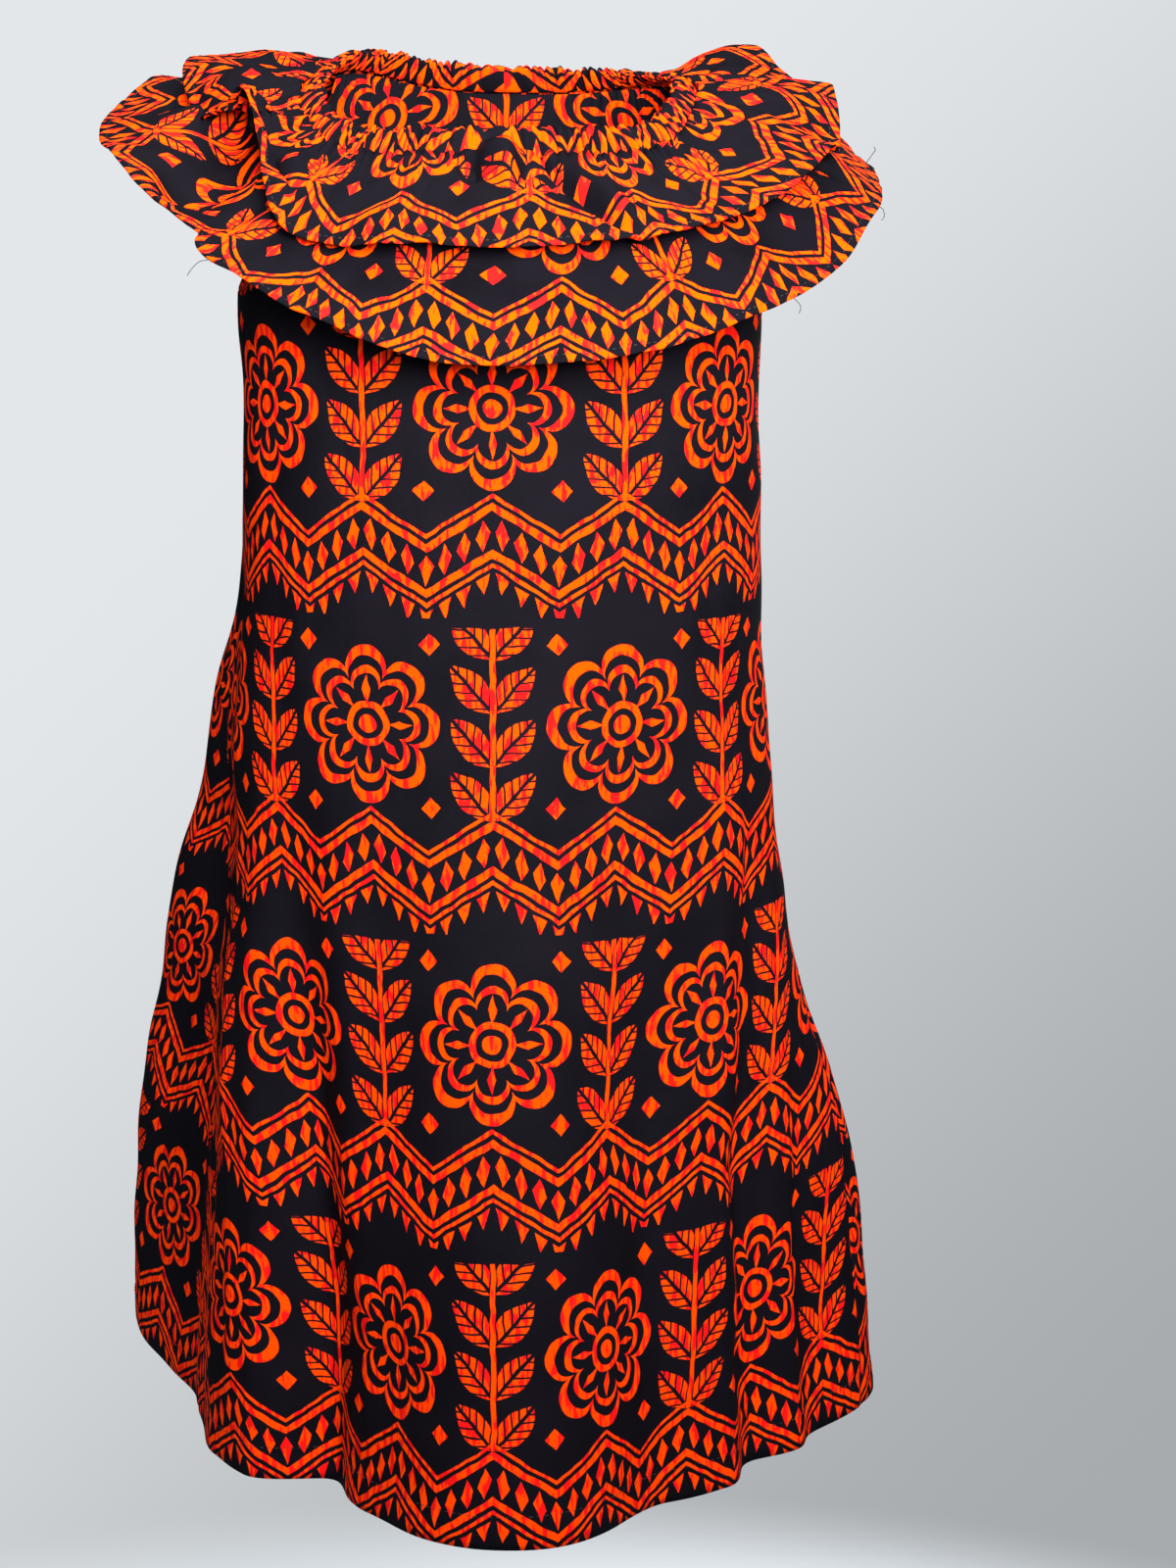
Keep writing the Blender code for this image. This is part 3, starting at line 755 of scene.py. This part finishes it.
class Field:
    """A number or colour that changes over the cloth. Arithmetic on it adds Math nodes."""

    def __init__(self, recipe, socket):
        self.recipe = recipe
        self.socket = socket

    def other(self, output):
        """Another output of the same node."""
        return Field(self.recipe, self.socket.node.outputs[output])

    def __add__(self, other):
        return self.recipe.math("ADD", self, other)

    __radd__ = __add__

    def __sub__(self, other):
        return self.recipe.math("SUBTRACT", self, other)

    def __rsub__(self, other):
        return self.recipe.math("SUBTRACT", other, self)

    def __mul__(self, other):
        return self.recipe.math("MULTIPLY", self, other)

    __rmul__ = __mul__

    def __truediv__(self, other):
        return self.recipe.math("DIVIDE", self, other)

    def __mod__(self, other):
        return self.recipe.math("FLOORED_MODULO", self, other)

    def __pow__(self, other):
        return self.recipe.math("POWER", self, other)

    def __abs__(self):
        return self.recipe.math("ABSOLUTE", self)

    def __or__(self, other):
        return self.recipe.math("MAXIMUM", self, other)


class Recipe:
    """The nodes of one material."""

    def __init__(self, name, **constants):
        self.material = bpy.data.materials.new(name)
        self.material.use_nodes = True
        self.tree = self.material.node_tree
        self.shader = self.tree.nodes["Principled BSDF"]
        for socket, value in constants.items():
            self.shader.inputs[socket.replace("_", " ")].default_value = value

    def add(self, kind, settings, sockets, output=0):
        """One node: its settings first, then the values or fields of its sockets."""
        node = self.tree.nodes.new(kind)
        for name, value in settings.items():
            setattr(node, name, value)
        for key, value in sockets.items():
            self.feed(node.inputs[key], value)
        return Field(self, node.outputs[output])

    def feed(self, socket, value):
        """Gives a socket a field or a plain value."""
        if isinstance(value, Field):
            self.tree.links.new(value.socket, socket)
        else:
            socket.default_value = value

    def math(self, operation, *values):
        return self.add("ShaderNodeMath", {"operation": operation}, dict(enumerate(values)))

    def within(self, distance, limit, blur=0.18):
        """1 where a distance is under a limit, with an edge that has bled a little."""
        return self.add("ShaderNodeMapRange", {}, {"Value": distance, "From Min": limit + blur,
                                                   "From Max": limit - blur})

    def mixed(self, share, first, second):
        """One colour going over into another."""
        return self.add("ShaderNodeMix", {"data_type": "RGBA"}, {0: share, 6: first, 7: second}, 2)

    def noise(self, place, scale, detail=2.0, output=0, dimensions="3D"):
        return self.add("ShaderNodeTexNoise", {"noise_dimensions": dimensions},
                        {"Vector": place, "Scale": scale, "Detail": detail}, output)


# Print, in millimetres on the flat cloth
REPEAT = 98
ROW = 116
WOBBLE = 1.5
BAND_UP = 32  # the zigzag band above the foot of its row
ROSETTE_UP = 76
SPRIG_UP = 77
LEAF_PITCH = 19.5
LEAF_SLOPE = math.radians(48)
LEAF_LENGTH = 23
WEAVE = 0.7


def printed(r, flat):
    """Where the ink lies: zigzag bands of points, rosettes and leaf sprigs, each row moved by half
    a repeat."""
    shake = r.noise(flat, 0.11, 1.0, 1, "2D")
    shaky = r.add("ShaderNodeVectorMath", {"operation": "MULTIPLY_ADD"},
                  {0: shake, 1: (WOBBLE, WOBBLE, 0), 2: flat})
    across = r.add("ShaderNodeSeparateXYZ", {}, {"Vector": shaky})
    upwards = across.other("Y")
    row = r.math("FLOOR", upwards / ROW)
    x = (across + row * (REPEAT / 2)) % REPEAT - REPEAT / 2
    y = upwards - row * ROW
    side = abs(x)

    zigzag = r.math("PINGPONG", x + REPEAT / 2, REPEAT / 4)
    lift = y - BAND_UP + zigzag * 0.62
    lines = r.within(abs(abs(lift) - 8.4), 1.5) | r.within(abs(abs(lift) - 12.6), 0.75)
    tooth = abs((x + REPEAT / 2) % (REPEAT / 14) - REPEAT / 28)
    points = r.within(tooth * 2.2 + abs(lift), 5.6)
    below = lift + 15.2
    fringe = r.within(tooth * 2.6 - below, 6.4) * r.within(below, 0.0)
    ink = lines | points | fringe

    up = y - ROSETTE_UP
    radius = r.math("SQRT", x * x + up * up)
    turn = r.math("ARCTAN2", up, x) * 4
    lobe = abs(r.math("COSINE", turn)) ** 0.55
    shape = radius / (lobe * 0.30 + 0.70)
    outlines = r.within(abs(shape - 27.5), 2.0) | r.within(abs(shape - 20.2), 1.35)
    heart = r.within(radius, 3.4) | r.within(abs(radius - 7.2), 1.2)
    rib = abs(r.math("SINE", turn)) * radius / 4
    petals = r.within(rib + abs(radius - 13.0) * 0.30, 1.5)
    ink = ink | outlines | heart | petals

    out = REPEAT / 2 - side
    leaf_up = (y - 42) % LEAF_PITCH
    ahead = out * math.cos(LEAF_SLOPE) + leaf_up * math.sin(LEAF_SLOPE)
    aside = abs(leaf_up * math.cos(LEAF_SLOPE) - out * math.sin(LEAF_SLOPE))
    leaf = r.within(aside - ahead * (LEAF_LENGTH - ahead) * 0.042, 0.0)
    bare = r.within(aside, 0.75) | r.within(abs((ahead - aside) % 4.2 - 2.1), 0.55)
    sprig = (leaf * (1 - bare) | r.within(out, 0.95)) * r.within(abs(y - SPRIG_UP), 35.0)
    diamonds = r.within(abs(side - 25.5) + abs(abs(up) - 30), 3.9)
    return ink | sprig | diamonds


def cotton(name, orange_ink, red_ink, **finish):
    """Wax-printed plain-weave cotton: near-black ground, orange ink with red streaks along the
    cloth, slightly rumpled, with a fine weave."""
    r = Recipe(name, **finish)
    uv = r.add("ShaderNodeUVMap", {"uv_map": "cloth"}, {})
    flat = r.add("ShaderNodeVectorMath", {"operation": "SCALE"}, {0: uv, "Scale": 1000.0})
    ink = printed(r, flat)
    drawn_out = r.add("ShaderNodeMapping", {}, {"Vector": flat, "Scale": (0.42, 0.10, 1)})
    blot = r.noise(drawn_out, 1.0, 2.0, 0, "2D")
    red = r.within(0.565 - blot, 0.03, 0.04)
    orange = r.mixed(red, (*orange_ink, 1), (*red_ink, 1))
    cloudy = r.noise(flat, 0.035, 3.0, 0, "2D")
    ground = r.mixed(cloudy, (0.0030, 0.0027, 0.0042, 1), (0.0060, 0.0052, 0.0080, 1))
    r.feed(r.shader.inputs["Base Color"], r.mixed(ink, ground, orange))
    r.feed(r.shader.inputs["Roughness"], 0.62 + 0.16 * cloudy + 0.06 * ink)
    threads = r.add("ShaderNodeVectorMath", {"operation": "SCALE"},
                    {0: flat, "Scale": math.tau / WEAVE})
    warp = r.add("ShaderNodeSeparateXYZ", {}, {"Vector": threads})
    weave = r.math("SINE", warp) * r.math("SINE", warp.other("Y"))
    crinkle = r.noise(flat, 0.30, 3.0, 0, "2D")
    height = weave * 0.00006 + crinkle * 0.00050
    bump = r.add("ShaderNodeBump", {}, {"Strength": 0.55, "Distance": 1.0, "Height": height})
    r.feed(r.shader.inputs["Normal"], bump)
    return r.material


def sewing_thread():
    """Spun thread near the colour of the ground."""
    r = Recipe("sewing thread", Roughness=0.6)
    place = r.add("ShaderNodeTexCoord", {}, {}, "Object")
    fuzz = r.noise(place, 2600.0)
    r.feed(r.shader.inputs["Base Color"],
           r.mixed(fuzz, (0.004, 0.003, 0.005, 1), (0.018, 0.010, 0.010, 1)))
    bump = r.add("ShaderNodeBump", {}, {"Strength": 0.4, "Distance": 0.0002, "Height": fuzz})
    r.feed(r.shader.inputs["Normal"], bump)
    return r.material


def paint(name, shade, inner, outer):
    """The floor's paint, which fades out between two distances from the middle."""
    r = Recipe(name, Roughness=0.85)
    place = r.add("ShaderNodeTexCoord", {}, {}, "Object")
    cloudy = r.noise(place, 3.0)
    r.feed(r.shader.inputs["Base Color"],
           r.mixed(cloudy, (*shade, 1), (*[part * 0.97 for part in shade], 1)))
    away = r.add("ShaderNodeVectorMath", {"operation": "LENGTH"}, {0: place}, 1)
    alpha = r.add("ShaderNodeMapRange", {"interpolation_type": "SMOOTHSTEP"},
                  {"Value": away, "From Min": outer, "From Max": inner})
    r.feed(r.shader.inputs["Alpha"], alpha)
    return r.material


# Making the dress

BODY_INKS = ((0.93, 0.052, 0.0001), (0.72, 0.006, 0.0060))
# The frill's inks are the body's dye painted lighter: painted light for the top light that falls on the
# up-facing frill.
LIT_FRILL_INKS = ((0.95, 0.070, 0.0001), (0.80, 0.009, 0.0080))  # the frill looks a little lighter
MATT = {"Specular_IOR_Level": 0.01}

printed_cotton = cotton("printed cotton", *BODY_INKS, **MATT)
# The frill and the neckline casing take the inks painted lighter, as painted light from above.
lit_frill_cotton = cotton("frill cotton", *LIT_FRILL_INKS, **MATT)
gathered_cotton = cotton("gathered cotton", *LIT_FRILL_INKS, **MATT)
thread = sewing_thread()


def declare(piece, material, slot, *nodes):
    """Finishes a sheet of cloth and hides the solids it stands for."""
    piece.data.materials.append(material)
    walled(piece, CLOTH)
    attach(piece, "root")
    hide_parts(*nodes)


front, *front_lattice = body_cloth("front_body_cloth", 0, FRONT_CREASES)
back, *back_lattice = body_cloth("back_body_cloth", 180, BACK_CREASES)
lower, *lower_lattice = frill_tier(
    "lower_frill_cloth", LOWER_TIER, LOWER_FOLDS, LOWER_CREASES, LOWER_EDGE, held=2.2, slack=(),
    layer=0, rows=LOWER_ROWS, print_start=(0.021, 0.098), seed=41)
upper, *upper_lattice = frill_tier(
    "upper_frill_cloth", UPPER_TIER, UPPER_FOLDS, UPPER_CREASES, UPPER_EDGE, held=1.25,
    slack=UPPER_SLACK, layer=1, rows=UPPER_ROWS, print_start=(-0.013, 0.066), seed=51)
casing = neckline()

declare(front, printed_cotton, "printed_cotton", "front_panel")
declare(back, printed_cotton, "printed_cotton", "back_panel")
declare(lower, lit_frill_cotton, "printed_cotton", "front_lower_frill", "back_lower_frill")
declare(upper, lit_frill_cotton, "printed_cotton", "front_upper_frill", "back_upper_frill")
declare(casing, gathered_cotton, "gathered_cotton", "neck_band")


# Loose threads that stand off the lower tier's edge: their places
LOOSE_THREADS = (
    ((0.1428, 0.012, -0.0303), (0.1443, 0.008, -0.0278),
     (0.1454, 0.004, -0.0257), (0.1445, 0.002, -0.0242)),
    ((0.1443, -0.024, -0.0473), (0.1459, -0.027, -0.0488),
     (0.146, -0.031, -0.0514), (0.1443, -0.033, -0.0532)),
    ((0.107, -0.088, -0.0801), (0.1088, -0.092, -0.0815),
     (0.1104, -0.095, -0.0838), (0.1096, -0.097, -0.0866)),
    ((-0.1228, 0.006, 0.0001), (-0.1242, 0.003, 0.0006),
     (-0.1257, 0.0, 0.0012), (-0.127, -0.002, 0.0007)),
    ((-0.1016, -0.098, -0.0672), (-0.1045, -0.1, -0.0678),
     (-0.1072, -0.101, -0.0702), (-0.1094, -0.101, -0.0733)),
)


def thread_line(places):
    """A smooth line through a thread's places, with a level direction across it."""
    spots = np.linspace(0, len(places) - 1, 24)
    line = np.stack([through(np.arange(len(places)), [place[k] for place in places], spots)
                     for k in range(3)], axis=1)
    return line, np.tile([0.0, -1.0, 0.0], (len(line), 1))


def line_at(points, facing, distances, wanted, rows):
    """The line over a lattice on which a distance down the cloth has one value."""
    row = rows[np.argmin(np.abs(distances[rows].mean(axis=1) - wanted))]
    return points[row], facing[row]


outer_rows = np.arange(YOKE_ROWS, YOKE_ROWS + SKIRT_ROWS)
hem_lines = [line_at(*lattice, SKIRT_LENGTH - BODY_STITCHES, outer_rows)
             for lattice in (front_lattice, back_lattice)]
lower_line = line_at(*lower_lattice, FRILL_STITCHES, np.arange(LOWER_ROWS))
upper_line = line_at(*upper_lattice, FRILL_STITCHES, np.arange(UPPER_ROWS))
thread_lines = [thread_line(places) for places in LOOSE_THREADS]

hem_stitches = stitched("hem_stitching", hem_lines, 0.0030, 0.0021, thread)
lower_stitches = stitched("lower_frill_stitching", [lower_line], 0.0026, 0.0018, thread)
upper_stitches = stitched("upper_frill_stitching", [upper_line], 0.0026, 0.0018, thread)
loose_threads = stitched("loose_threads", thread_lines, 0.0007, 0.0012, thread)


# Floor, light and camera

FLOOR = -0.95
ROOM = 8  # the radius of the dome
ROOM_LIGHT = (0.95, 0.98, 1.0)

disc = bmesh.new()
bmesh.ops.create_circle(disc, cap_ends=True, segments=96, radius=1.2,
                        matrix=Matrix.Translation((0, 0, FLOOR)))
floor = shown("floor", disc)
floor.data.materials.append(paint("pale floor", (0.69, 0.72, 0.75), 1.16, 1.30))

world = bpy.data.worlds.new("studio")
world.use_nodes = True
sky = world.node_tree.nodes["Background"]
sky.inputs["Color"].default_value = (*ROOM_LIGHT, 1)
sky.inputs["Strength"].default_value = 0.13
bpy.context.scene.world = world


def lit_wall_glow():
    """A pale wall that glows, darker downwards and towards +X: painted shade, as if the wall were lit
    from above and from -X.
    """
    r = Recipe("pale wall", Base_Color=(0, 0, 0, 1), Specular_IOR_Level=0, Emission_Strength=1)
    place = r.add("ShaderNodeTexCoord", {}, {}, "Object")
    up_and_left = r.add("ShaderNodeVectorMath", {"operation": "DOT_PRODUCT"},
                        {0: place, 1: (-0.95 / ROOM, 0.0, 1.0 / ROOM)}, 1)
    share = r.add("ShaderNodeMapRange", {"interpolation_type": "SMOOTHSTEP"},
                  {"Value": up_and_left, "From Min": -0.66, "From Max": 0.08})
    # The darker colour is painted shade on the lower +X side, the lighter one painted light on the upper
    # -X side.
    r.feed(r.shader.inputs["Emission Color"],
           r.mixed(share, (0.385, 0.405, 0.425, 1), (0.77, 0.80, 0.82, 1)))
    return r.material


# A dome all round shows the wall, and sheds no light
ball = bmesh.new()
bmesh.ops.create_uvsphere(ball, u_segments=48, v_segments=24, radius=ROOM)
dome = shown("wall", ball)
dome.data.materials.append(lit_wall_glow())
dome.visible_diffuse = False
dome.visible_glossy = False
dome.visible_shadow = False


def soft_light(name, place, aim, size, power, colour, spread=180):
    """A square soft box turned to a place. Its light falls off sooner with a smaller spread."""
    light = bpy.data.lights.new(name, "AREA")
    light.size = size
    light.spread = math.radians(spread)
    light.energy = power
    light.color = colour
    box = bpy.data.objects.new(name, light)
    box.location = place
    box.rotation_euler = (Vector(aim) - Vector(place)).to_track_quat("-Z", "Y").to_euler()
    box.visible_camera = False
    bpy.context.scene.collection.objects.link(box)


soft_light("window", (0.26, -1.15, 0.24), (0, 0, 0.08), 0.60, 12.5, (1.0, 0.99, 0.97), 70)
soft_light("ceiling", (0, 0.2, 2.5), (0, 0, 0), 2.0, 120, (0.97, 0.99, 1.0))
soft_light("room", (-1.5, -0.7, 0.2), (0, 0, -0.3), 1.2, 4, ROOM_LIGHT)
soft_light("far side", (0.7, 1.9, 0.1), (0, 0, -0.25), 1.2, 8, (0.97, 0.99, 1.0))

lens = bpy.data.cameras.new("camera")
lens.lens = 69.75
lens.sensor_width = 36
lens.clip_start = 0.05
camera = bpy.data.objects.new("camera", lens)
camera.location = (0.034, -1.2, -0.062)
camera.rotation_euler = (math.radians(90 - 10.06), 0, 0)
bpy.context.scene.collection.objects.link(camera)
bpy.context.scene.camera = camera
bpy.context.scene.view_settings.view_transform = "Standard"
